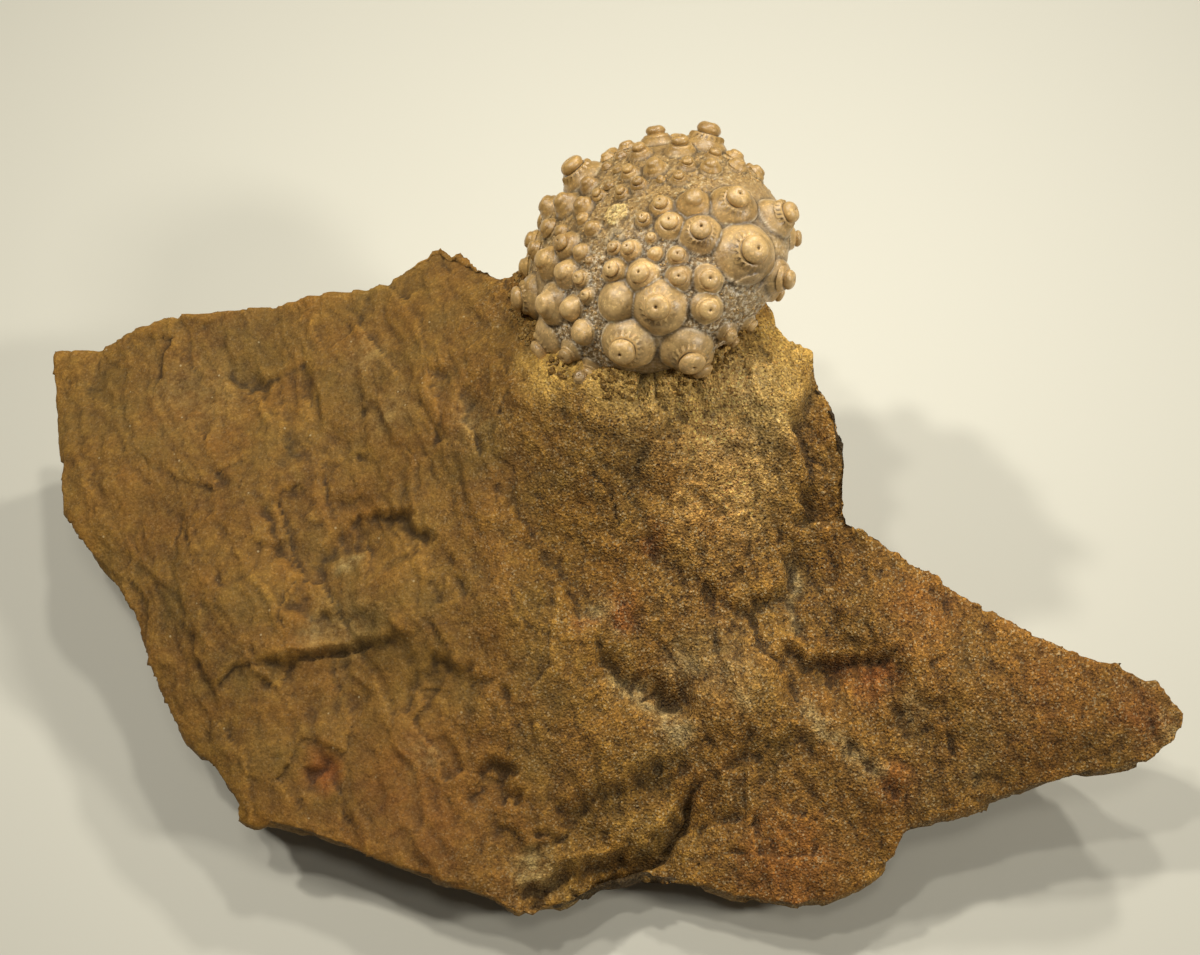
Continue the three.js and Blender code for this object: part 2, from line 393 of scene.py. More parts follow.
# %% Ledges, cracks and hollows
# Each ledge is (path, drop on the right-hand side of the path, how far the drop takes to fade, how soft
# its edge is). A negative drop lowers the left-hand side. All are in millimetres.
LEDGES = [
    ([(-50, -31), (-42, -30), (-36, -29.5), (-31, -28.5), (-24, -28)], 1.5, 7, 0.35),
    ([(-25.5, -31), (-20, -33), (-14, -35.5)], 1.1, 6, 0.5),
    ([(-23, -16), (-26, -13), (-30, -10.5), (-34, -10), (-37, -12)], -1.7, 7, 0.5),
    ([(-34, -9.5), (-38.5, -14), (-42, -19), (-46, -24)], -1.7, 9, 1.8),
    ([(-58, 17), (-50, 10), (-45.5, 4), (-47, -3)], -1.3, 8, 1.2),
    ([(-49, -6), (-46, -13), (-43.5, -20)], -1.1, 7, 0.9),
    ([(-16, -44.5), (-13.5, -46), (-10, -49)], 1.4, 5, 0.4),
    ([(-8, -49.5), (0, -48.5), (6, -46), (12.5, -43)], 1.8, 7, 0.8),
    ([(-16, -51.5), (-9.5, -54.5), (-4, -53.5)], 0.9, 5, 0.4),
    ([(5.5, -13), (9, -18), (16.5, -22.5), (21, -24), (25, -22), (28.5, -15)], 1.5, 7, 1.0),
    ([(-9, 0), (-3.5, -3.5), (3, -6), (6, -7.5), (10, -4), (16, -2), (24, -0.5)], 0.9, 6, 0.5),
    ([(5.5, -7), (5.5, -12), (8, -18.5)], 0.4, 8, 1.6),
    ([(29.5, 6), (28, -2), (28, -9), (28.5, -16)], -2.6, 9, 0.5),
    ([(25, -28.5), (29, -31), (36, -31.5), (42.5, -31)], 2.2, 6, 0.5),
    ([(19, -41), (22.5, -43), (26, -41.5), (27.5, -39.5)], 1.3, 5, 0.8),
    ([(-13, -62.5), (-9.5, -60), (-5, -57), (3, -54.8), (8.5, -52.5), (12.5, -48.5), (14, -45)], 3.0, 7, 0.7),
    ([(40, -38), (44, -41), (50, -40.5)], 1.0, 5, 0.5),
    ([(-21, 6), (-19, -1), (-17, -6)], -0.8, 4, 0.5),
    ([(-25, 9), (-23, 2), (-25, -3)], -0.9, 5, 0.7),
    ([(-45, -27), (-38, -24), (-30, -25)], 0.7, 6, 0.9),
    ([(-60, -10), (-55, -18), (-50, -22)], -0.8, 7, 1.2),
    ([(-14, -10), (-10, -17), (-4, -24), (-2, -29)], -0.9, 6, 0.9),
    ([(33, -10), (42, -17), (52, -25)], 0.7, 6, 0.9),
]
# Each crack is (path, depth, half width).
CRACKS = [
    ([(-42, -30), (-36, -29.5), (-31, -28.5)], 0.9, 0.5),
    ([(-1.5, -31), (3, -33.5), (9.5, -35.8), (14, -36.5)], 2.2, 1.7),
    ([(-15.5, -45), (-13.5, -46), (-11, -47.5)], 1.1, 0.5),
    ([(-5, -60.8), (0, -58.3), (6, -55.8), (12.5, -50.5), (14, -46)], 1.2, 0.6),
    ([(21, -24), (22, -29), (24.5, -32), (28.5, -36.5)], 0.9, 0.8),
    ([(29, -31), (34, -31.5), (42, -31)], 0.9, 0.5),
    ([(12, -55.5), (17, -56.2), (21, -55)], 0.5, 0.4),
    ([(27, -22), (28.5, -29)], 0.6, 0.8),
    ([(-9, -53.5), (-6, -54), (-4, -53)], 0.8, 0.4),
    ([(20.5, -55.2), (26, -56), (32, -54.5)], 0.5, 0.4),
    ([(33, -42.5), (38, -45.5), (41, -50)], 0.8, 0.9),
]
# Each lump is (x, y, half length, half width, turn in degrees, height); a hollow's height is negative.
LUMPS = [
    (3, -42, 8, 6, 20, 1.4),
    (-12, -22, 4, 13, 18, 1.0),
    (-50, -20, 5, 12, 35, 0.9),
    (20.5, -36, 7, 4.5, 10, 1.3),
    (-34, -19, 7, 5, 40, 0.9),
    (-39, -45, 2.2, 1.6, 20, -1.2),
    (-52, 12, 3.5, 1.8, 60, -0.9),
    (22, -25, 5, 2.2, 5, -0.7),
    (45, -40, 4, 2.5, 10, -0.9),
    (8, -18, 1.4, 1.2, 0, -0.9),
    (5, -9, 2, 2.5, 0, -0.8),
    (27, -57, 8, 4, 0, 0.8),
    (-34.5, 5, 0.9, 0.6, 0, -0.8),
    (-34, -1.5, 0.7, 0.5, 0, -0.7),
    (62, -38, 9, 4, -15, 0.5),
    (6, 1, 15, 5, 0, 1.3),
]
WANDER = 1.3


def along(path, x, y):
    """Distance to a path, which side of it each point is on (1 is left), and a fade at its two ends."""
    corners = np.array(path, float)
    lengths = np.hypot(*np.diff(corners, axis=0).T)
    starts = np.concatenate([[0], np.cumsum(lengths)])
    nearest = np.full(len(x), 1e9)
    side = np.ones(len(x))
    share = np.zeros(len(x))
    for i, length in enumerate(lengths):
        direction = (corners[i + 1] - corners[i]) / length
        dx, dy = x - corners[i, 0], y - corners[i, 1]
        run = np.clip(dx * direction[0] + dy * direction[1], 0, length)
        off = np.hypot(dx - run * direction[0], dy - run * direction[1])
        closer = off < nearest
        nearest[closer] = off[closer]
        side[closer] = np.sign(direction[0] * dy - direction[1] * dx)[closer]
        share[closer] = (starts[i] + run[closer]) / starts[-1]
    fade = smooth_step(0, 0.18, share) * smooth_step(0, 0.18, 1 - share)
    return nearest, side, fade


def ledge_height(x, y, path, drop, fading, softness):
    away, side, fade = along(path, x, y)
    low_side = -side if drop > 0 else side
    step = smooth_step(-softness, softness, away * low_side)
    return -abs(drop) * fade * step * np.exp(-((away / fading) ** 2))


def crack_height(x, y, path, depth, half_width):
    away, _, fade = along(path, x, y)
    return -depth * fade * np.exp(-((away / half_width) ** 2))


def lump_height(x, y, lump):
    at_x, at_y, half_length, half_width, turn, height = lump
    turn = math.radians(turn)
    u = (x - at_x) * math.cos(turn) + (y - at_y) * math.sin(turn)
    v = (y - at_y) * math.cos(turn) - (x - at_x) * math.sin(turn)
    return height * np.exp(-((u / half_length) ** 2) - (v / half_width) ** 2)


# %% Break the surface of the rock
# Each patch is (x, y, radius, strength).
STREAK = np.array([0.35, -0.94, 0])
STREAK_STRETCH = 0.5
ACROSS = np.array([0.94, 0.35, 0.3])
SMOOTH_END, ROUGH_END = -26, 4
BED_HEIGHT = 5.0
BLOCK = [(15, -12, 16, 1), (18, 0, 9, 0.8), (45, -30, 22, 0.4), (12, -38, 14, 0.4)]


def patch_mask(x, y, patches):
    """How much a place belongs to any of the patches, from 0 to 1."""
    share = np.zeros(len(x))
    for at_x, at_y, radius, strength in patches:
        share = np.maximum(share, strength * np.exp(-(((x - at_x) ** 2 + (y - at_y) ** 2) / radius**2)))
    return share


def layered(places, spacing, size, waviness, seed):
    """Thin layers that crop out one after another: a sharp rise, then a long fall, from 0 to about 0.8."""
    level = places @ ACROSS / spacing + waviness * fractal(places, size, 3, seed)
    run = level - np.floor(level)
    return smooth_step(0, 0.2, run) - run


def how_rough(places):
    """0 on the worn smooth end of the slab, 1 on its freshly broken end."""
    ends = smooth_step(SMOOTH_END, ROUGH_END, places[:, 0] + 6 * fractal(places, 12, 2, 34))
    return np.clip(0.15 + 0.55 * ends + 0.3 * patch_mask(places[:, 0], places[:, 1], BLOCK), 0, 1)


def rock_relief(places, rough):
    """How far noise pushes each point of the rock out, in millimetres: swells, flakes, chips and grit."""
    bent = places + 0.9 * fractal(places, 4.5, 2, 31)[:, None] * np.array([1, -0.6, 0.8])
    streaked = bent - STREAK_STRETCH * (bent @ STREAK)[:, None] * STREAK
    fading = smooth_step(-0.5, 0.4, fractal(places, 10, 2, 36))
    relief = 1.3 * fractal(bent, 20, 2, 1) - 0.3
    relief += 0.42 * fading * layered(streaked, 9, 13, 1.2, 30)
    relief += (0.22 + 0.2 * rough) * layered(streaked, 3.7, 6, 1.0, 35)
    relief += 0.5 * chipped(streaked, 6.5, 2)
    relief += (0.08 + 0.16 * rough) * chipped(streaked, 2.6, 3)
    relief += (0.06 + 0.1 * rough) * fractal(places, 1.9, 3, 5)
    relief += (0.02 + 0.12 * rough) * chipped(places, 1.2, 32)
    return relief


def side_relief(places):
    """The same for the broken sides: thin level beds with steps between them, and chips."""
    level = places[:, 2] / BED_HEIGHT + 1.3 * fractal(places, 20, 3, 41)
    run = level - np.floor(level)
    beds = smooth_step(0, 0.25, run) - run
    shown = smooth_step(-0.4, 0.5, fractal(places, 11, 2, 44))
    return 0.9 * shown * beds + 1.0 * chipped(places, 9, 42) + 0.4 * chipped(places, 3.6, 43) - 0.5


def sculpt_rock():
    places, facing = points_of(rock)
    up = smooth_step(0.05, 0.45, facing[:, 2])
    crooked_x = places[:, 0] + WANDER * fractal(places, 3.5, 3, 6)
    crooked_y = places[:, 1] + WANDER * fractal(places, 3.5, 3, 7)
    strength = 0.95 + 0.4 * fractal(places, 8, 2, 33)
    drop = np.zeros(len(places))
    for path, amount, fading, softness in LEDGES:
        drop += strength * ledge_height(crooked_x, crooked_y, path, amount, fading, softness)
    for path, depth, half_width in CRACKS:
        drop += strength * crack_height(crooked_x, crooked_y, path, depth, half_width)
    for lump in LUMPS:
        drop += lump_height(crooked_x, crooked_y, lump)
    rough = how_rough(places)
    on_top = smooth_step(0, 0.5, facing[:, 2])
    relief = on_top * rock_relief(places, rough) + (1 - on_top) * side_relief(places)
    rest = smooth_step(0, 2.5, places[:, 2])
    moved = places + facing * (relief * rest)[:, None]
    moved[:, 2] += drop * up
    moved[:, 2] = np.maximum(moved[:, 2], 0)
    set_points(rock, moved)
    for _ in range(2):
        moved, facing = points_of(rock)
        steep = smooth_step(-0.1, 0.25, facing[:, 2]) - smooth_step(0.4, 0.75, facing[:, 2])
        moved += 0.7 * steep[:, None] * (neighbour_mean(rock, moved) - moved)
        set_points(rock, moved)
    set_mask(rock, "rough", rough)
    return relief


rock_relief_mm = sculpt_rock()
print("rock relief from", rock_relief_mm.min().round(2), "to", rock_relief_mm.max().round(2), "mm")

# %% Masks for the rock's colours
# Each patch is (x, y, radius, strength).
RUST_PATCHES = [
    (-38.5, -45, 2.6, 1), (38, -34, 3, 0.9), (34, -32.5, 2, 0.7), (75, -39, 4, 0.6), (27, -58, 9, 0.5),
    (3, -26.5, 2, 0.8), (7, -17, 1.6, 0.7), (45, -27, 7, 0.35), (-2, -28, 1.5, 0.6), (40, -47, 2.5, 0.6),
    (-25, -50, 12, 0.35), (60, -36, 9, 0.3),
]
PALE_PATCHES = [
    (-0.5, -26.5, 1.6, 0.8), (2, -28, 0.7, 1), (19.5, -37.5, 1.6, 0.7), (-35.5, -17, 1.6, 0.9),
    (-9, -58, 2.4, 0.9), (78, -40.5, 2.4, 0.7), (43.5, -39, 1.8, 0.6), (12, -32, 2.5, 0.6),
    (18, -33, 5, 0.35), (-18, 0, 3, 0.4), (-34, 14, 3, 0.35), (-30, 4, 3, 0.35), (5, 4, 9, 0.45),
    (20, 0, 7, 0.5), (-60, 12, 6, 0.2), (-35, -26, 4, 0.3), (-24, -44, 2, 0.4), (-40, -27, 2, 0.5),
    (52, -46, 2, 0.4),
]
PLATEAU = [
    (14, 0, 9, 1), (22, 2, 8, 1), (4, 2, 8, 1), (-6, 4, 6, 0.9), (26, 9, 6, 1), (14, -6, 6, 0.6),
    (20, -10, 8, 0.62), (12, -13, 5, 0.5),
]
# Each seam is (path, half width).
PALE_SEAMS = [
    ([(27.5, -16.5), (27, -23.5), (28, -29)], 0.8),
    ([(27, -36), (29.5, -39.5), (33, -42.5), (37, -45), (39.5, -48)], 1.2),
    ([(0, -34), (4, -35), (7, -36.5), (10, -39.5), (12.5, -42.5)], 1.5),
]
SPECK_PATCHES = [
    (-3.5, -4, 2.5, 0.9), (1.5, -5.5, 3, 0.9), (-8, 1, 2, 0.6), (29, -8, 3, 1), (31, -18, 5, 1),
    (32, -25, 4, 0.9), (23, -28, 3, 0.9), (28.5, -37, 3, 0.8), (52, -45, 8, 0.6),
]


def mask_hollows(piece, scales):
    """Stores how hollow the skin is: 0.5 is flat, and more is deeper. Each scale is (rounds, strength)."""
    places, facing = points_of(piece)
    hollow = np.zeros(len(places))
    near = places
    for rounds, strength in scales:
        for _ in range(rounds):
            near = neighbour_mean(piece, near)
        hollow += strength * np.sum((near - places) * facing, axis=1)
    set_mask(piece, "hollow", 0.5 + hollow)


CREVICE = 0.07


def mask_rock():
    places, facing = points_of(rock)
    crooked_x = places[:, 0] + 1.5 * fractal(places, 4, 3, 8)
    crooked_y = places[:, 1] + 1.5 * fractal(places, 4, 3, 9)
    up = smooth_step(0, 0.4, facing[:, 2])
    pale = patch_mask(crooked_x, crooked_y, PALE_PATCHES)
    for path, half_width in PALE_SEAMS:
        away, _, fade = along(path, crooked_x, crooked_y)
        pale = np.maximum(pale, 0.8 * fade * np.exp(-((away / half_width) ** 2)))
    plateau = smooth_step(-0.3, 0.3, patch_mask(crooked_x, crooked_y, PLATEAU) - 0.5)
    set_mask(rock, "rust", patch_mask(crooked_x, crooked_y, RUST_PATCHES) * up)
    set_mask(rock, "pale", pale * up)
    set_mask(rock, "specks", patch_mask(crooked_x, crooked_y, SPECK_PATCHES) * up)
    set_mask(rock, "plateau", plateau * up)
    set_mask(rock, "side", 1 - smooth_step(0.0, 0.55, facing[:, 2]))


def darken_contact():
    """Painted shade gathers in the crevice round the foot of the test: the hollow mask is raised there."""
    places, _ = points_of(rock)
    away = from_test(places)
    hollow = np.empty(len(places), np.float32)
    rock.data.attributes["hollow"].data.foreach_get("value", hollow)
    set_mask(rock, "hollow", hollow + 0.3 * np.exp(-(((away - 1) / CREVICE) ** 2)))


mask_rock()
# The hollow mask carries painted shade and painted light into the rock's colour.
mask_hollows(rock, ((3, 0.7), (7, 0.4), (30, 0.16)))
darken_contact()
print("rock masks:", [a.name for a in rock.data.attributes if a.data_type == "FLOAT"])

# %% [markdown]
# ## The rock's material
#
# Sandy limestone is ochre brown, and no two grains match. The colour is built in layers: broad clouds
# of tan and umber, a fine salt and pepper of grains, then rust, pale lime and black specks where the
# masks put them. Painted shade darkens the hollows, and painted light brightens the ridges. Bump adds
# only what is finer than the mesh: the grains.


# %% Helpers for materials
def node(tree, kind, place=(0, 0), **settings):
    made = tree.nodes.new(kind)
    made.location = place
    for name, value in settings.items():
        setattr(made, name, value)
    return made


def object_place(tree):
    """The surface point in metres, in the object's own space."""
    return node(tree, "ShaderNodeTexCoord").outputs["Object"]


def cloud(tree, place, size, detail=4.0, roughness=0.55):
    """Noise with lumps of a size in millimetres, from 0 to 1."""
    made = node(tree, "ShaderNodeTexNoise")
    made.inputs["Scale"].default_value = 1 / (size * MM)
    made.inputs["Detail"].default_value = detail
    made.inputs["Roughness"].default_value = roughness
    tree.links.new(place, made.inputs["Vector"])
    return made.outputs["Fac"]


def cells(tree, place, size, output="Distance"):
    """Cells of a size in millimetres."""
    made = node(tree, "ShaderNodeTexVoronoi")
    made.inputs["Scale"].default_value = 1 / (size * MM)
    tree.links.new(place, made.inputs["Vector"])
    return made.outputs[output]


def full_colour(colour):
    """Red, green, blue and alpha, from a grey level, from three values or from four."""
    if isinstance(colour, (int, float)):
        return (colour, colour, colour, 1)
    return colour if len(colour) == 4 else (*colour, 1)


def ramp(tree, value, stops):
    """Turns a number into a colour through (position, colour) stops. A number as a colour is a grey."""
    made = node(tree, "ShaderNodeValToRGB")
    elements = made.color_ramp.elements
    while len(elements) < len(stops):
        elements.new(0.5)
    for element, (position, colour) in zip(elements, stops):
        element.position = position
        element.color = full_colour(colour)
    tree.links.new(value, made.inputs["Fac"])
    return made.outputs["Color"]


def mixed(tree, share, first, second, blend="MIX"):
    """Mixes two colours. Either may be a socket or a colour, and the share a socket or a number."""
    made = node(tree, "ShaderNodeMix", data_type="RGBA", blend_type=blend)
    for socket, value in ((0, share), (6, first), (7, second)):
        if hasattr(value, "is_output"):
            tree.links.new(value, made.inputs[socket])
        else:
            made.inputs[socket].default_value = value
    return made.outputs[2]


def maths(tree, operation, first, second):
    made = node(tree, "ShaderNodeMath", operation=operation)
    for socket, value in enumerate((first, second)):
        if hasattr(value, "is_output"):
            tree.links.new(value, made.inputs[socket])
        else:
            made.inputs[socket].default_value = value
    return made.outputs[0]


def times(tree, first, second):
    return maths(tree, "MULTIPLY", first, second)


def mask(tree, name, share=None):
    """A mask that was stored on the points, times a share if one is given."""
    stored = node(tree, "ShaderNodeAttribute", attribute_name=name).outputs["Fac"]
    return stored if share is None else times(tree, stored, share)


def bumped(tree, height, distance, strength, below=None):
    """A bump of a height in millimetres, over another bump if one is given."""
    made = node(tree, "ShaderNodeBump")
    made.inputs["Distance"].default_value = distance * MM
    made.inputs["Strength"].default_value = strength
    tree.links.new(height, made.inputs["Height"])
    if below is not None:
        tree.links.new(below, made.inputs["Normal"])
    return made.outputs["Normal"]


# %% Sandy limestone
UMBER = (0.122, 0.055, 0.01, 1)
OCHRE = (0.254, 0.124, 0.022, 1)
TAN = (0.376, 0.203, 0.039, 1)
ORANGE = (0.282, 0.117, 0.015, 1)
OLIVE = (0.188, 0.117, 0.028, 1)
RUST = (0.319, 0.087, 0.016, 1)
SAND = (0.672, 0.407, 0.116, 1)
LIME = (0.55, 0.42, 0.22, 1)
SOOT = (0.012, 0.01, 0.008, 1)
SIDE_GREY = (0.117, 0.085, 0.045, 1)
# Each tone is (how rough the rock is, what its colour is multiplied by). The tones differ along the slab; the
# lightest, on the rough block below the test, is partly painted light on that block's face, which faces the
# camera.
TONES = [
    (0.15, (0.71, 0.7, 0.52)),
    (0.72, (0.8, 0.78, 0.58)),
    (0.9, (0.84, 0.84, 0.78)),
    (1.0, (1.12, 1.06, 1.05)),
]


def rock_grains(tree, place, colour, rough):
    """Darkens and lightens a colour grain by grain, as salt and pepper, most where the break is fresh."""
    grain = cells(tree, place, 0.3, output="Color")
    grit = cloud(tree, place, 0.45, 3, 0.8)
    salt = ramp(tree, grain, [(0.0, 0.2), (0.3, 0.42), (0.62, 0.52), (0.8, 0.85)])
    amount = maths(tree, "ADD", times(tree, rough, 0.7), 0.15)
    colour = mixed(tree, amount, colour, salt, "OVERLAY")
    pepper = ramp(tree, grit, [(0.36, 0.3), (0.5, 0.52), (0.62, 0.72)])
    colour = mixed(tree, amount, colour, pepper, "OVERLAY")
    odd = cells(tree, place, 0.24, output="Color")
    pits = times(tree, ramp(tree, odd, [(0.16, 0.85), (0.22, 0)]), rough)
    glints = times(tree, ramp(tree, odd, [(0.78, 0), (0.84, 0.55)]), rough)
    return mixed(tree, glints, mixed(tree, pits, colour, UMBER, "MULTIPLY"), LIME), grit


def sandy_limestone():
    material, tree, shader = new_material("sandy_limestone", OCHRE, 0.9)
    place = object_place(tree)
    colour = ramp(tree, cloud(tree, place, 14, 6, 0.6), [(0.3, UMBER), (0.5, OCHRE), (0.74, TAN)])
    mottle = cloud(tree, place, 1.8, 5, 0.7)
    colour = mixed(tree, 0.5, colour, ramp(tree, mottle, [(0.34, UMBER), (0.5, OCHRE), (0.66, TAN)]))
    hue = cloud(tree, place, 9, 4, 0.6)
    colour = mixed(tree, ramp(tree, hue, [(0.5, 0), (0.7, 0.5)]), colour, ORANGE)
    colour = mixed(tree, ramp(tree, hue, [(0.32, 0.5), (0.5, 0)]), colour, OLIVE)
    for name, share, paint in (("side", 0.5, SIDE_GREY), ("plateau", 0.85, SAND), ("rust", 0.8, RUST)):
        colour = mixed(tree, mask(tree, name, share), colour, paint)
    patchy = ramp(tree, mottle, [(0.38, 0.1), (0.55, 0.9)])
    pale = times(tree, mask(tree, "pale", 0.7), patchy)
    colour = mixed(tree, pale, colour, LIME)
    rough = mask(tree, "rough")
    colour = mixed(tree, 1.0, colour, ramp(tree, rough, TONES), "MULTIPLY")
    colour, grit = rock_grains(tree, place, colour, rough)
    # Painted shade and painted light: the colour is darker in hollows and lighter on ridges.
    painted_shading = ramp(tree, mask(tree, "hollow"), [(0.15, 1.5), (0.5, 1.0), (0.8, 0.3)])
    colour = mixed(tree, 0.9, colour, painted_shading, "MULTIPLY")
    fleck = ramp(tree, cells(tree, place, 3.3), [(0.04, 1), (0.06, 0)])
    colour = mixed(tree, times(tree, fleck, 0.5), colour, LIME)
    speck = ramp(tree, cells(tree, place, 0.6), [(0.2, 1), (0.27, 0)])
    colour = mixed(tree, times(tree, speck, mask(tree, "specks")), colour, SOOT)
    tree.links.new(colour, shader.inputs["Base Color"])
    tree.links.new(ramp(tree, grit, [(0.3, 0.95), (0.7, 0.68)]), shader.inputs["Roughness"])
    worn = bumped(tree, cloud(tree, place, 1.3, 6, 0.7), 0.35, 0.7)
    flakes = times(tree, cells(tree, place, 0.8, output="Color"), rough)
    broken = bumped(tree, flakes, 0.25, 0.8, worn)
    grains = times(tree, cells(tree, place, 0.35), rough)
    tree.links.new(bumped(tree, grains, 0.35, 0.9, broken), shader.inputs["Normal"])
    shader.inputs["Specular IOR Level"].default_value = 0.4
    return material


wear(rock, sandy_limestone())
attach(rock, "root")
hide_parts("matrix")
print("rock:", len(rock.data.polygons), "faces")

# %% [markdown]
# ## The test of the urchin
#
# A regular urchin's test is a flattened ball of plates in ten areas that run from the pole to the mouth:
# five broad ones and five narrow ones. Each area has two columns of knobs. In life a spine turned on
# each knob. The layout below gives, for each area, the bearing of its middle round the pole, and then
# each column's knobs as (degrees from the pole, radius of the ball in millimetres).

# %% Where the knobs are
BROAD_SPREAD = 11.5
NARROW_SPREAD = 5.0
BROAD_AREAS = [
    (276, [(16, 0.7), (27, 1.1), (42, 1.5), (67, 1.8)],
     [(20, 0.95), (34, 1.3), (52, 1.8), (89, 1.75)]),
    (348, [(14, 0.75), (27, 1.2), (42, 1.5), (68, 1.95), (97, 1.3)],
     [(21, 1.0), (36, 1.3), (56, 1.65), (84, 1.5), (108, 1.1)]),
    (66, [(18, 0.75), (30, 1.0), (50, 1.2), (73, 1.75), (105, 1.5)],
     [(12, 0.7), (25, 0.85), (41, 1.0), (64, 1.4), (93, 1.6)]),
    (133, [(18, 0.7), (31, 0.9), (48, 1.7), (76, 1.8), (105, 1.5)],
     [(21, 1.0), (36, 1.2), (58, 1.3), (90, 1.7)]),
    (203, [(12, 0.8), (27, 1.2), (40, 1.4), (72, 1.6), (101, 1.5)],
     [(22, 0.85), (34, 1.2), (53, 1.5), (86, 1.75)]),
]
NARROW_AREAS = [
    (311, [(29, 0.75), (46, 1.2), (69, 1.35), (95, 1.0)],
     [(22, 0.6), (38, 1.0), (58, 1.3), (107, 0.9)]),
    (33, [(33, 0.8), (51, 1.0), (69, 0.9), (87, 0.95)],
     [(26, 0.5), (42, 0.85), (60, 0.9), (78, 1.0), (97, 0.9)]),
    (98, [(30, 0.5), (45, 0.7), (61, 1.0), (82, 1.0)],
     [(20, 0.5), (38, 0.6), (52, 0.8), (71, 1.0), (93, 1.0)]),
    (168, [(18, 0.7), (42, 1.0), (64, 1.2), (87, 1.2)],
     [(30, 0.8), (53, 1.0), (75, 1.2), (98, 1.1)]),
    (236, [(23, 0.5), (32, 0.9), (48, 1.2), (78, 1.2), (100, 1.0)],
     [(39, 0.8), (59, 1.2), (88, 1.1)]),
]
LOWEST_KNOB = 125
ENDS_IN_ROCK = 80
BELOW_STEP = 21
BELOW_SHRINK = 0.8
BROKEN_KNOBS = [(264.5, 42)]


def column(bearing, stated, is_broad):
    """A column's stated knobs, then smaller ones below, unless the column ends in the rock."""
    places = list(stated)
    while ENDS_IN_ROCK < places[-1][0] < LOWEST_KNOB - BELOW_STEP:
        places.append((places[-1][0] + BELOW_STEP, places[-1][1] * BELOW_SHRINK))
    return [(bearing, from_pole, radius, is_broad) for from_pole, radius in places]


def all_knobs():
    knobs = []
    for areas, spread, is_broad in ((BROAD_AREAS, BROAD_SPREAD, True), (NARROW_AREAS, NARROW_SPREAD, False)):
        for bearing, first, second in areas:
            knobs += column(bearing - spread, first, is_broad)
            knobs += column(bearing + spread, second, is_broad)
    return knobs


SWELL = 0.14
SWELL_PLACE = (98, 350)
SWELL_WIDTH = 0.16


def outward(from_pole, bearing):
    """A direction in the test's own axes."""
    polar, around = np.radians(from_pole), np.radians(bearing)
    return np.stack([np.sin(polar) * np.cos(around), np.sin(polar) * np.sin(around), np.cos(polar)], axis=-1)


def test_point(direction):
    """The point of the bare test in one direction, and the way it faces, both in its own axes."""
    facing = direction / TEST_SIZE
    swell = 1 + SWELL * np.exp((direction @ outward(*SWELL_PLACE) - 1) / SWELL_WIDTH)
    return direction * TEST_SIZE * swell[..., None], facing / np.linalg.norm(facing, axis=-1, keepdims=True)


def from_own(places):
    """Places in the test's own axes, as millimetres from the datum."""
    return TEST_CENTRE + places @ TEST_AXES


KNOBS = all_knobs()
print("knobs:", len(KNOBS))

# %% [markdown]
# The body starts as a cube cut into a fine grid and blown up to a ball, because a grid has no pole where
# faces crowd. Squeezed flat, it is the bare test. Each knob then lifts a smooth round boss under it.
# Where two bosses meet, the taller one wins, which leaves the sharp valleys that real plates have.
# Between the bosses the skin is crusty: pairs of pores open there, and grit has stuck to them.

# %% Blank of the test
GRID_CUTS = 125


def ball_of_cube(name):
    """A ball whose grid keeps even faces, with a radius of 1."""
    skin = bmesh.new()
    bmesh.ops.create_cube(skin, size=2)
    bmesh.ops.subdivide_edges(skin, edges=skin.edges[:], cuts=GRID_CUTS, use_grid_fill=True)
    for vert in skin.verts:
        vert.co = Vector([math.tan(c * math.pi / 4) for c in vert.co]).normalized()
    bmesh.ops.recalc_face_normals(skin, faces=skin.faces)
    return as_object(skin, name)


test = ball_of_cube("test_body")
ball = np.empty(len(test.data.vertices) * 3)
test.data.vertices.foreach_get("co", ball)
ball = ball.reshape(-1, 3)
print("test blank:", len(ball), "points")

# %% Bosses, valleys and crust
BOSS_REACH = (1.45, 0.42)
NARROW_REACH = (1.55, 0.15)
BOSS_TOP = 1.12
NARROW_TOP = 0.92
BOSS_CURVE = 2.3
COLLAR_RADIUS, COLLAR_WIDTH = 1.25, 0.25
YELLOW_PATCH = (2, 90, 1.9)
GREY_PATCH = (11, 265, 1.7)
BROKEN_PLATES = (83, 322, 4.5)
SAND_LINE = (42.0, 45.5)
# Painted light: the side of the test in this direction faces the camera and is made lighter in the material.
# Its crust is also kept unworn there.
LIT_FRONT_SIDE = (98, 280)


def boss_heights(places):
    """The tallest and second tallest boss over each place, how near its top it is, and the collars."""
    tallest = np.zeros(len(places))
    second = np.zeros(len(places))
    share = np.zeros(len(places))
    collar = np.zeros(len(places))
    for bearing, from_pole, radius, is_broad in KNOBS:
        point, facing = test_point(outward(from_pole, bearing))
        away = places - point
        off_axis = np.linalg.norm(away - (away @ facing)[:, None] * facing, axis=1)
        is_near = (away @ facing > -3 * radius).astype(float)
        least, growth = BOSS_REACH if is_broad else NARROW_REACH
        reach = radius * (least + growth * radius)
        top = radius * (BOSS_TOP if is_broad else NARROW_TOP)
        height = top * (1 - np.minimum(off_axis / reach, 1) ** BOSS_CURVE) * is_near
        is_tallest = height > tallest
        second = np.where(is_tallest, tallest, np.maximum(second, height))
        share = np.where(is_tallest, height / top, share)
        tallest = np.maximum(tallest, height)
        ring = np.exp(-(((off_axis / radius - COLLAR_RADIUS) / COLLAR_WIDTH) ** 2)) * is_near
        collar = np.maximum(collar, ring)
    return tallest, second, share, collar


def narrow_middle(places, direction):
    """How far each place is, in millimetres, from the middle line of the nearest narrow area."""
    across = np.hypot(places[:, 0], places[:, 1])
    around = np.degrees(np.arctan2(direction[:, 1], direction[:, 0]))
    nearest = np.full(len(places), 1e9)
    for bearing, _, _ in NARROW_AREAS:
        turn = np.abs((around - bearing + 180) % 360 - 180)
        nearest = np.minimum(nearest, across * np.radians(turn))
    return nearest


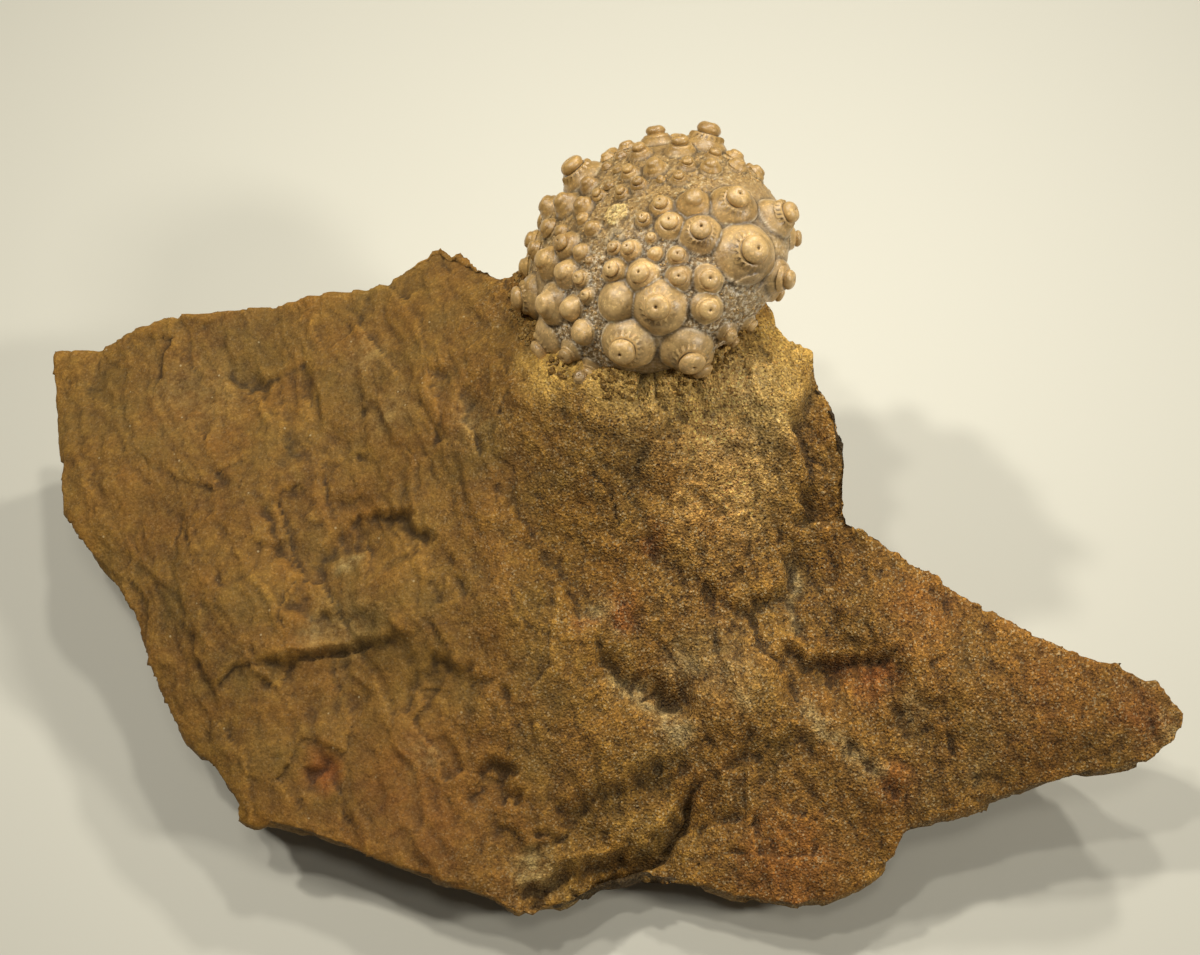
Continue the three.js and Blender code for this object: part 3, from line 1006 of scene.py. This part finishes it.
def spot(direction, place):
    """1 at the middle of a round patch, fading to 0 at its edge."""
    from_pole, bearing, radius = place
    point, _ = test_point(outward(from_pole, bearing))
    away = np.linalg.norm(direction * TEST_SIZE - point, axis=1)
    wobble = 0.25 * fractal(direction * TEST_SIZE, 1.2, 2, 21)
    return 1 - smooth_step(0.75, 1.05, away / radius + wobble)


def sculpt_test():
    bare, facing = test_point(ball)
    shaped = bare * (1 + 0.01 * fractal(bare, 9, 2, 11)[:, None])
    tallest, second, share, collar = boss_heights(bare + 0.12 * fractal(bare, 2.2, 2, 12)[:, None])
    middle = narrow_middle(bare, ball)
    gap = 1 - smooth_step(0.0, 0.3, share)
    crust = gap * (0.35 + 0.65 * (1 - smooth_step(4.0, 6.0, middle)))
    yellow = spot(ball, YELLOW_PATCH)
    dull = spot(ball, GREY_PATCH)
    broken = spot(ball, BROKEN_PLATES)
    suture = np.exp(-(((tallest - second) / 0.09) ** 2)) * (second > 0.12)
    suture *= smooth_step(-0.25, 0.25, fractal(bare, 3, 2, 17))
    rim = np.exp(-(((share - 0.12) / 0.07) ** 2)) * smooth_step(-0.1, 0.3, fractal(bare, 3.5, 2, 13))
    crumbs = fractal(bare, 0.6, 2, 14)
    pits = chipped(bare, 0.55, 15)
    height = tallest + 0.12 * np.maximum(suture, 0.7 * rim)
    height += crust * (0.13 * crumbs + 0.09 * pits)
    height += 0.05 * fractal(bare, 1.8, 3, 16) + broken * 0.45 * chipped(bare, 2.6, 18)
    height += yellow * (0.3 + 0.2 * crumbs) + dull * (0.15 + 0.12 * crumbs)
    set_points(test, from_own(shaped + facing * height[:, None]))
    set_mask(test, "collar", collar)
    set_mask(test, "crust", crust)
    # This mask carries painted light on the side that faces the camera, and keeps the crust there unworn.
    set_mask(test, "clean", smooth_step(-0.2, 0.35, ball @ outward(*LIT_FRONT_SIDE)))
    set_mask(test, "suture", np.maximum(suture, 0.7 * rim))
    set_mask(test, "yellow", yellow)
    set_mask(test, "dull", np.maximum(dull, 0.5 * broken))
    low = 1 - smooth_step(*SAND_LINE, from_own(bare)[:, 2] + 1.5 * fractal(bare, 3, 2, 19))
    set_mask(test, "sand", low * (0.4 + 0.6 * gap))


sculpt_test()
# The hollow mask carries painted shade into the test's colour.
mask_hollows(test, ((3, 1.4), (6, 0.9), (20, 0.5)))
print("test body:", len(test.data.polygons), "faces")

# %% [markdown]
# ## The knobs
#
# Each knob is a little ball on a short neck. It stands on a round platform whose edge is notched like a
# cog, and a tiny pit in its top held a ligament. One profile is spun round for each knob. Broad areas
# have big notched knobs. The knobs of the narrow areas are plainer.

# %% Spin the knobs
# Each profile point is (distance from the axis, height), both in radii of the ball.
BROAD_PROFILE = [
    (1.52, 0.45), (1.5, 0.82), (1.38, 1.0), (1.14, 1.04), (0.97, 0.98), (0.92, 1.04), (0.97, 1.16),
    (1.04, 1.3), (1.04, 1.42), (0.98, 1.58), (0.87, 1.72), (0.7, 1.84), (0.5, 1.91), (0.3, 1.93),
    (0.16, 1.91), (0.11, 1.76), (0, 1.7),
]
NARROW_PROFILE = [
    (1.22, 0.4), (1.19, 0.66), (1.06, 0.75), (0.96, 0.74), (0.93, 0.8), (1.0, 0.93), (1.03, 1.08),
    (0.97, 1.26), (0.84, 1.41), (0.62, 1.53), (0.38, 1.58), (0.17, 1.57), (0.11, 1.43), (0, 1.38),
]
WORN_PROFILE = [
    (1.5, 0.4), (1.3, 0.86), (1.12, 1.02), (1.03, 1.16), (0.98, 1.34), (0.86, 1.53), (0.64, 1.68),
    (0.34, 1.76), (0, 1.78),
]
PLAIN_FOOT = [(1.34, 0.82), (1.2, 0.96), (1.08, 1.0)]
BROAD_STEPS = 36
NARROW_STEPS = 24
NOTCH_RINGS = (1, 2)
NOTCH_DEPTH = 0.17
NOTCH_DROP = 1.3
KNOB_WOBBLE = 0.045
NOTCHED_FROM = 1.45
WORN_SIDE = (85, 225)
WORN_CHANCE, FRESH_CHANCE = 0.9, 0.2
LARGEST_WORN = 1.65
WORN_NARROW_HEIGHT = 0.86


def spun(profile, steps):
    """One closed-topped knob of radius 1, standing along Z."""
    knob = bmesh.new()
    corners = [knob.verts.new((across, 0, up)) for across, up in profile]
    line = [knob.edges.new(pair) for pair in zip(corners, corners[1:])]
    bmesh.ops.spin(
        knob,
        geom=corners + line,
        axis=(0, 0, 1),
        cent=(0, 0, 0),
        angle=2 * math.pi,
        steps=steps,
        use_merge=True,
    )
    bmesh.ops.remove_doubles(knob, verts=knob.verts, dist=1e-4)
    bmesh.ops.recalc_face_normals(knob, faces=knob.faces)
    return knob


def notch(knob, steps):
    """Cuts every second line of the platform's edge inwards, like a cog."""
    ring_places = {BROAD_PROFILE[i] for i in NOTCH_RINGS}
    for vert in knob.verts:
        across = math.hypot(vert.co.x, vert.co.y)
        is_on_edge = any(abs(across - a) < 1e-3 and abs(vert.co.z - up) < 1e-3 for a, up in ring_places)
        line = round(math.atan2(vert.co.y, vert.co.x) / (2 * math.pi / steps))
        if is_on_edge and line % 2:
            vert.co.x *= 1 - NOTCH_DEPTH
            vert.co.y *= 1 - NOTCH_DEPTH
            vert.co.z -= NOTCH_DROP * NOTCH_DEPTH


def knob_meshes():
    broad = spun(BROAD_PROFILE, BROAD_STEPS)
    notch(broad, BROAD_STEPS)
    narrow = spun(NARROW_PROFILE, NARROW_STEPS)
    worn = spun(WORN_PROFILE, NARROW_STEPS)
    plain = spun(BROAD_PROFILE[:1] + PLAIN_FOOT + BROAD_PROFILE[4:], NARROW_STEPS)
    kinds = {"broad": broad, "plain": plain, "narrow": narrow, "worn": worn}
    return {kind: mesh_of(shape, kind + "_knob") for kind, shape in kinds.items()}


def add_copy(joined, mesh):
    """Adds a copy of a mesh to a growing one. Returns the copy's points."""
    start = len(joined.verts)
    joined.from_mesh(mesh)
    joined.verts.ensure_lookup_table()
    return joined.verts[start:]


def random_shift(dice):
    """A random place in the noise, so that no two copies are pushed about alike."""
    return Vector((dice.uniform(-9, 9), dice.uniform(-9, 9), dice.uniform(-9, 9)))


def stand_on_test(bearing, from_pole, radius, turn):
    """The matrix that puts a knob of radius 1 on the test, turned about its own axis."""
    point, facing = test_point(outward(from_pole, bearing))
    place = Matrix.Translation(to_metres(from_own(point)))
    lean = Vector(facing @ TEST_AXES).to_track_quat("Z", "Y").to_matrix().to_4x4()
    return place @ lean @ Matrix.Rotation(turn, 4, "Z") @ Matrix.Scale(radius * MM, 4)


def make_knobs():
    dice = random.Random(5)
    kinds = knob_meshes()
    joined = bmesh.new()
    for bearing, from_pole, radius, is_broad in KNOBS:
        if (bearing, from_pole) in BROKEN_KNOBS:
            continue
        chance = WORN_CHANCE if WORN_SIDE[0] < bearing < WORN_SIDE[1] else FRESH_CHANCE
        is_worn = dice.random() < chance and radius < LARGEST_WORN
        unworn = "narrow" if not is_broad else "broad" if radius > NOTCHED_FROM else "plain"
        new = add_copy(joined, kinds["worn" if is_worn else unworn])
        shift = random_shift(dice)
        height = 1 if is_broad or not is_worn else WORN_NARROW_HEIGHT
        wide, deep, high = dice.uniform(0.93, 1.05), dice.uniform(0.93, 1.05), dice.uniform(0.92, 1.04)
        squash = Vector((wide, deep, height * high))
        for vert in new:
            vert.co = vert.co * squash + noise.noise_vector(vert.co * 1.3 + shift) * KNOB_WOBBLE
        bmesh.ops.transform(
            joined, matrix=stand_on_test(bearing, from_pole, radius, dice.uniform(0, 6.28)), verts=new
        )
    return as_object(joined, "knobs")


knobs = make_knobs()
# The knobs' hollow mask gives their necks painted shade in the material.
mask_hollows(knobs, ((3, 2.4), (4, 1.2)))
knob_places, _ = points_of(knobs)
knob_directions = (knob_places - TEST_CENTRE) @ TEST_AXES.T
knob_directions /= np.linalg.norm(knob_directions, axis=1)[:, None]
# The knobs on that side get the same painted light.
set_mask(knobs, "clean", smooth_step(-0.2, 0.35, knob_directions @ outward(*LIT_FRONT_SIDE)))
print("knobs:", len(knobs.data.polygons), "faces")

# %% [markdown]
# ## Granules
#
# The crusty strips between the knobs carry hundreds of grains. Each is a low ball of a few dozen faces,
# pushed out of round, and all of them are joined in one mesh.

# %% Scatter the granules
GRANULES = 900
CRUSTY = 0.55
# The least, the largest and the usual radius of a granule, in millimetres.
GRANULE_SIZES = (0.09, 0.26, 0.12)
GRANULE_WOBBLE = 0.35


def make_granules():
    dice = random.Random(9)
    seed_ball = bmesh.new()
    bmesh.ops.create_uvsphere(seed_ball, u_segments=8, v_segments=5, radius=1)
    grain = mesh_of(seed_ball, "granule")
    crust = np.empty(len(test.data.vertices), np.float32)
    test.data.attributes["crust"].data.foreach_get("value", crust)
    skin, facing = points_of(test)
    chances = [i for i in range(len(crust)) if crust[i] > CRUSTY]
    joined = bmesh.new()
    for i in dice.sample(chances, GRANULES):
        new = add_copy(joined, grain)
        shift = random_shift(dice)
        for vert in new:
            vert.co += noise.noise_vector(vert.co + shift) * GRANULE_WOBBLE
        size = dice.triangular(*GRANULE_SIZES) * MM
        lean = Vector(facing[i]).to_track_quat("Z", "Y").to_matrix().to_4x4()
        flat = Matrix.Diagonal((size, size * dice.uniform(0.85, 1), size * 0.75, 1))
        bmesh.ops.transform(joined, matrix=Matrix.Translation(to_metres(skin[i])) @ lean @ flat, verts=new)
    return as_object(joined, "granules")


granules = make_granules()
print("granules:", len(granules.data.polygons), "faces")

# %% [markdown]
# ## What lies loose on the rock
#
# Crumbs of rock cling round the foot of the test, and one small knob has broken off and lies before it.

# %% Crumbs and the fallen knob
CRUMBS = 260
CRUMB_BAND = (1.01, 1.2)
# The least, the largest and the usual radius of a crumb, in millimetres.
CRUMB_SIZES = (0.18, 0.75, 0.25)
CRUMB_WOBBLE = 0.5
FALLEN_KNOB = (-1.5, 2.0, 44.0)
FALLEN_RADIUS = 0.85
FALLEN_SUNK = 0.3
FALLEN_WOBBLE = 0.05


def joined_lump(joined, shape, place, facing, size, dice, wobble):
    """Adds one copy of a small shape to a joined mesh, pushed out of round."""
    new = add_copy(joined, shape)
    shift = random_shift(dice)
    for vert in new:
        vert.co += noise.noise_vector(vert.co + shift) * wobble
    lean = Vector(facing).to_track_quat("Z", "Y").to_matrix().to_4x4() @ Matrix.Rotation(shift.x, 4, "Z")
    across, up = dice.uniform(0.6, 1), dice.uniform(0.5, 0.8)
    flat = Matrix.Diagonal((size * MM, size * across * MM, size * up * MM, 1))
    bmesh.ops.transform(joined, matrix=Matrix.Translation(to_metres(place)) @ lean @ flat, verts=new)


def make_crumbs():
    dice = random.Random(21)
    seed_stone = bmesh.new()
    bmesh.ops.create_icosphere(seed_stone, subdivisions=1, radius=1)
    stone = mesh_of(seed_stone, "crumb")
    places, facing = points_of(rock)
    away = from_test(places)
    is_near = (away > CRUMB_BAND[0]) & (away < CRUMB_BAND[1]) & (facing[:, 2] > 0.2)
    joined = bmesh.new()
    for i in dice.sample(list(np.nonzero(is_near)[0]), CRUMBS):
        size = dice.triangular(*CRUMB_SIZES)
        joined_lump(joined, stone, places[i], facing[i], size, dice, CRUMB_WOBBLE)
    piece = as_object(joined, "crumbs")
    # The hollow level of 0.62 darkens the crumbs with painted shade.
    set_levels(piece, hollow=0.62, rough=0.8, plateau=0.4)
    return piece


def make_fallen_knob():
    places, facing = points_of(rock)
    under = np.argmin(np.linalg.norm(places - np.array(FALLEN_KNOB), axis=1))
    shape = mesh_of(spun(NARROW_PROFILE, NARROW_STEPS), "fallen")
    joined = bmesh.new()
    place = places[under] - FALLEN_SUNK
    joined_lump(joined, shape, place, facing[under], FALLEN_RADIUS, random.Random(3), FALLEN_WOBBLE)
    piece = as_object(joined, "fallen_knob")
    # The fallen knob gets most of the painted light of the test's front.
    set_levels(piece, hollow=0.5, clean=0.8)
    return piece


crumbs = make_crumbs()
wear(crumbs, rock.data.materials[0])
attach(crumbs, "root")
fallen_knob = make_fallen_knob()
print("crumbs:", len(crumbs.data.polygons), "faces; fallen knob:", len(fallen_knob.data.polygons), "faces")

# %% [markdown]
# ## The test's material
#
# The test is calcite, tan with a warm pinkish cast and a waxy gloss. The bosses and balls are smooth and
# bare of crust. The strips between them are rough, with white grains and dark pits, and thin white lines
# mark where plates meet. Sandy grit stays in the valleys. Painted shade darkens the valleys, the necks of
# the knobs and a ring round the foot of each knob, and painted light brightens the side that faces the
# camera.

# %% Fossil calcite
FLESH = (0.363, 0.226, 0.077, 1)
HONEY = (0.456, 0.289, 0.101, 1)
COCOA = (0.242, 0.14, 0.048, 1)
CHALK = (0.68, 0.56, 0.35, 1)
DIRT = (0.16, 0.095, 0.035, 1)
YELLOW = (0.6, 0.4, 0.13, 1)
PALE_YELLOW = (0.75, 0.58, 0.25, 1)
ASH = (0.34, 0.25, 0.13, 1)


def fossil_calcite():
    material, tree, shader = new_material("fossil_calcite", FLESH, 0.45)
    place = object_place(tree)
    mottle = cloud(tree, place, 1.6, 6, 0.65)
    crumbs = cloud(tree, place, 0.5, 4, 0.75)
    colour = ramp(tree, cloud(tree, place, 6, 4), [(0.35, COCOA), (0.5, FLESH), (0.64, HONEY)])
    colour = mixed(tree, 0.5, colour, ramp(tree, mottle, [(0.35, COCOA), (0.5, FLESH), (0.66, HONEY)]))
    crust = mask(tree, "crust")
    crust_colour = ramp(tree, crumbs, [(0.37, DIRT), (0.44, COCOA), (0.51, FLESH), (0.57, CHALK)])
    worn_crust = ramp(tree, crumbs, [(0.34, COCOA), (0.45, FLESH), (0.55, HONEY), (0.66, CHALK)])
    crust_colour = mixed(tree, mask(tree, "clean"), worn_crust, crust_colour)
    colour = mixed(tree, times(tree, crust, 0.9), colour, crust_colour)
    colour = mixed(tree, mask(tree, "suture", 0.8), colour, CHALK)
    # Painted light: the side that faces the camera is made lighter and bluer, and the far side a little
    # darker.
    lit = ramp(tree, mask(tree, "clean"), [(0.0, (0.96, 0.93, 0.86)), (1.0, (1.36, 1.42, 1.66))])
    colour = mixed(tree, 1.0, colour, lit, "MULTIPLY")
    yellow_colour = ramp(tree, crumbs, [(0.38, DIRT), (0.48, YELLOW), (0.62, PALE_YELLOW)])
    colour = mixed(tree, mask(tree, "yellow"), colour, yellow_colour)
    colour = mixed(tree, mask(tree, "dull", 0.8), colour, ASH)
    grain = cells(tree, place, 0.26, output="Color")
    salt = ramp(tree, grain, [(0.0, 0.3), (0.35, 0.46), (0.7, 0.52), (0.9, 0.85)])
    colour = mixed(tree, 0.55, colour, salt, "OVERLAY")
    sandy = ramp(tree, crumbs, [(0.36, UMBER), (0.5, OCHRE), (0.62, SAND)])
    colour = mixed(tree, mask(tree, "sand", 0.8), colour, sandy)
    # Painted shade and painted light: the colour is darker in valleys and at the necks of the knobs, and
    # lighter on the tops of bumps.
    shades = [(0.2, 1.3), (0.5, 1.0), (0.72, 0.5), (1.0, 0.2)]
    painted_shading = ramp(tree, mask(tree, "hollow"), shades)
    colour = mixed(tree, 0.9, colour, painted_shading, "MULTIPLY")
    # Painted shade: a darker ring round the foot of each knob, where its platform meets the boss.
    ring = ramp(tree, mask(tree, "collar"), [(0.3, 1.0), (0.95, 0.78)])
    colour = mixed(tree, 1.0, colour, ring, "MULTIPLY")
    tree.links.new(colour, shader.inputs["Base Color"])
    rough = mixed(tree, crust, ramp(tree, mottle, [(0.3, 0.24), (0.7, 0.46)]), full_colour(0.85))
    tree.links.new(rough, shader.inputs["Roughness"])
    soft = bumped(tree, mottle, 0.14, 0.6)
    gritty = bumped(tree, times(tree, crumbs, maths(tree, "ADD", crust, 0.35)), 0.3, 0.8, soft)
    tree.links.new(gritty, shader.inputs["Normal"])
    shader.inputs["Specular IOR Level"].default_value = 0.6
    shader.inputs["Coat Weight"].default_value = 0.25
    shader.inputs["Coat Roughness"].default_value = 0.3
    return material


calcite = fossil_calcite()
for piece in (test, knobs, granules, fallen_knob):
    wear(piece, calcite)
    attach(piece, "root")
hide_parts("sea_urchin")
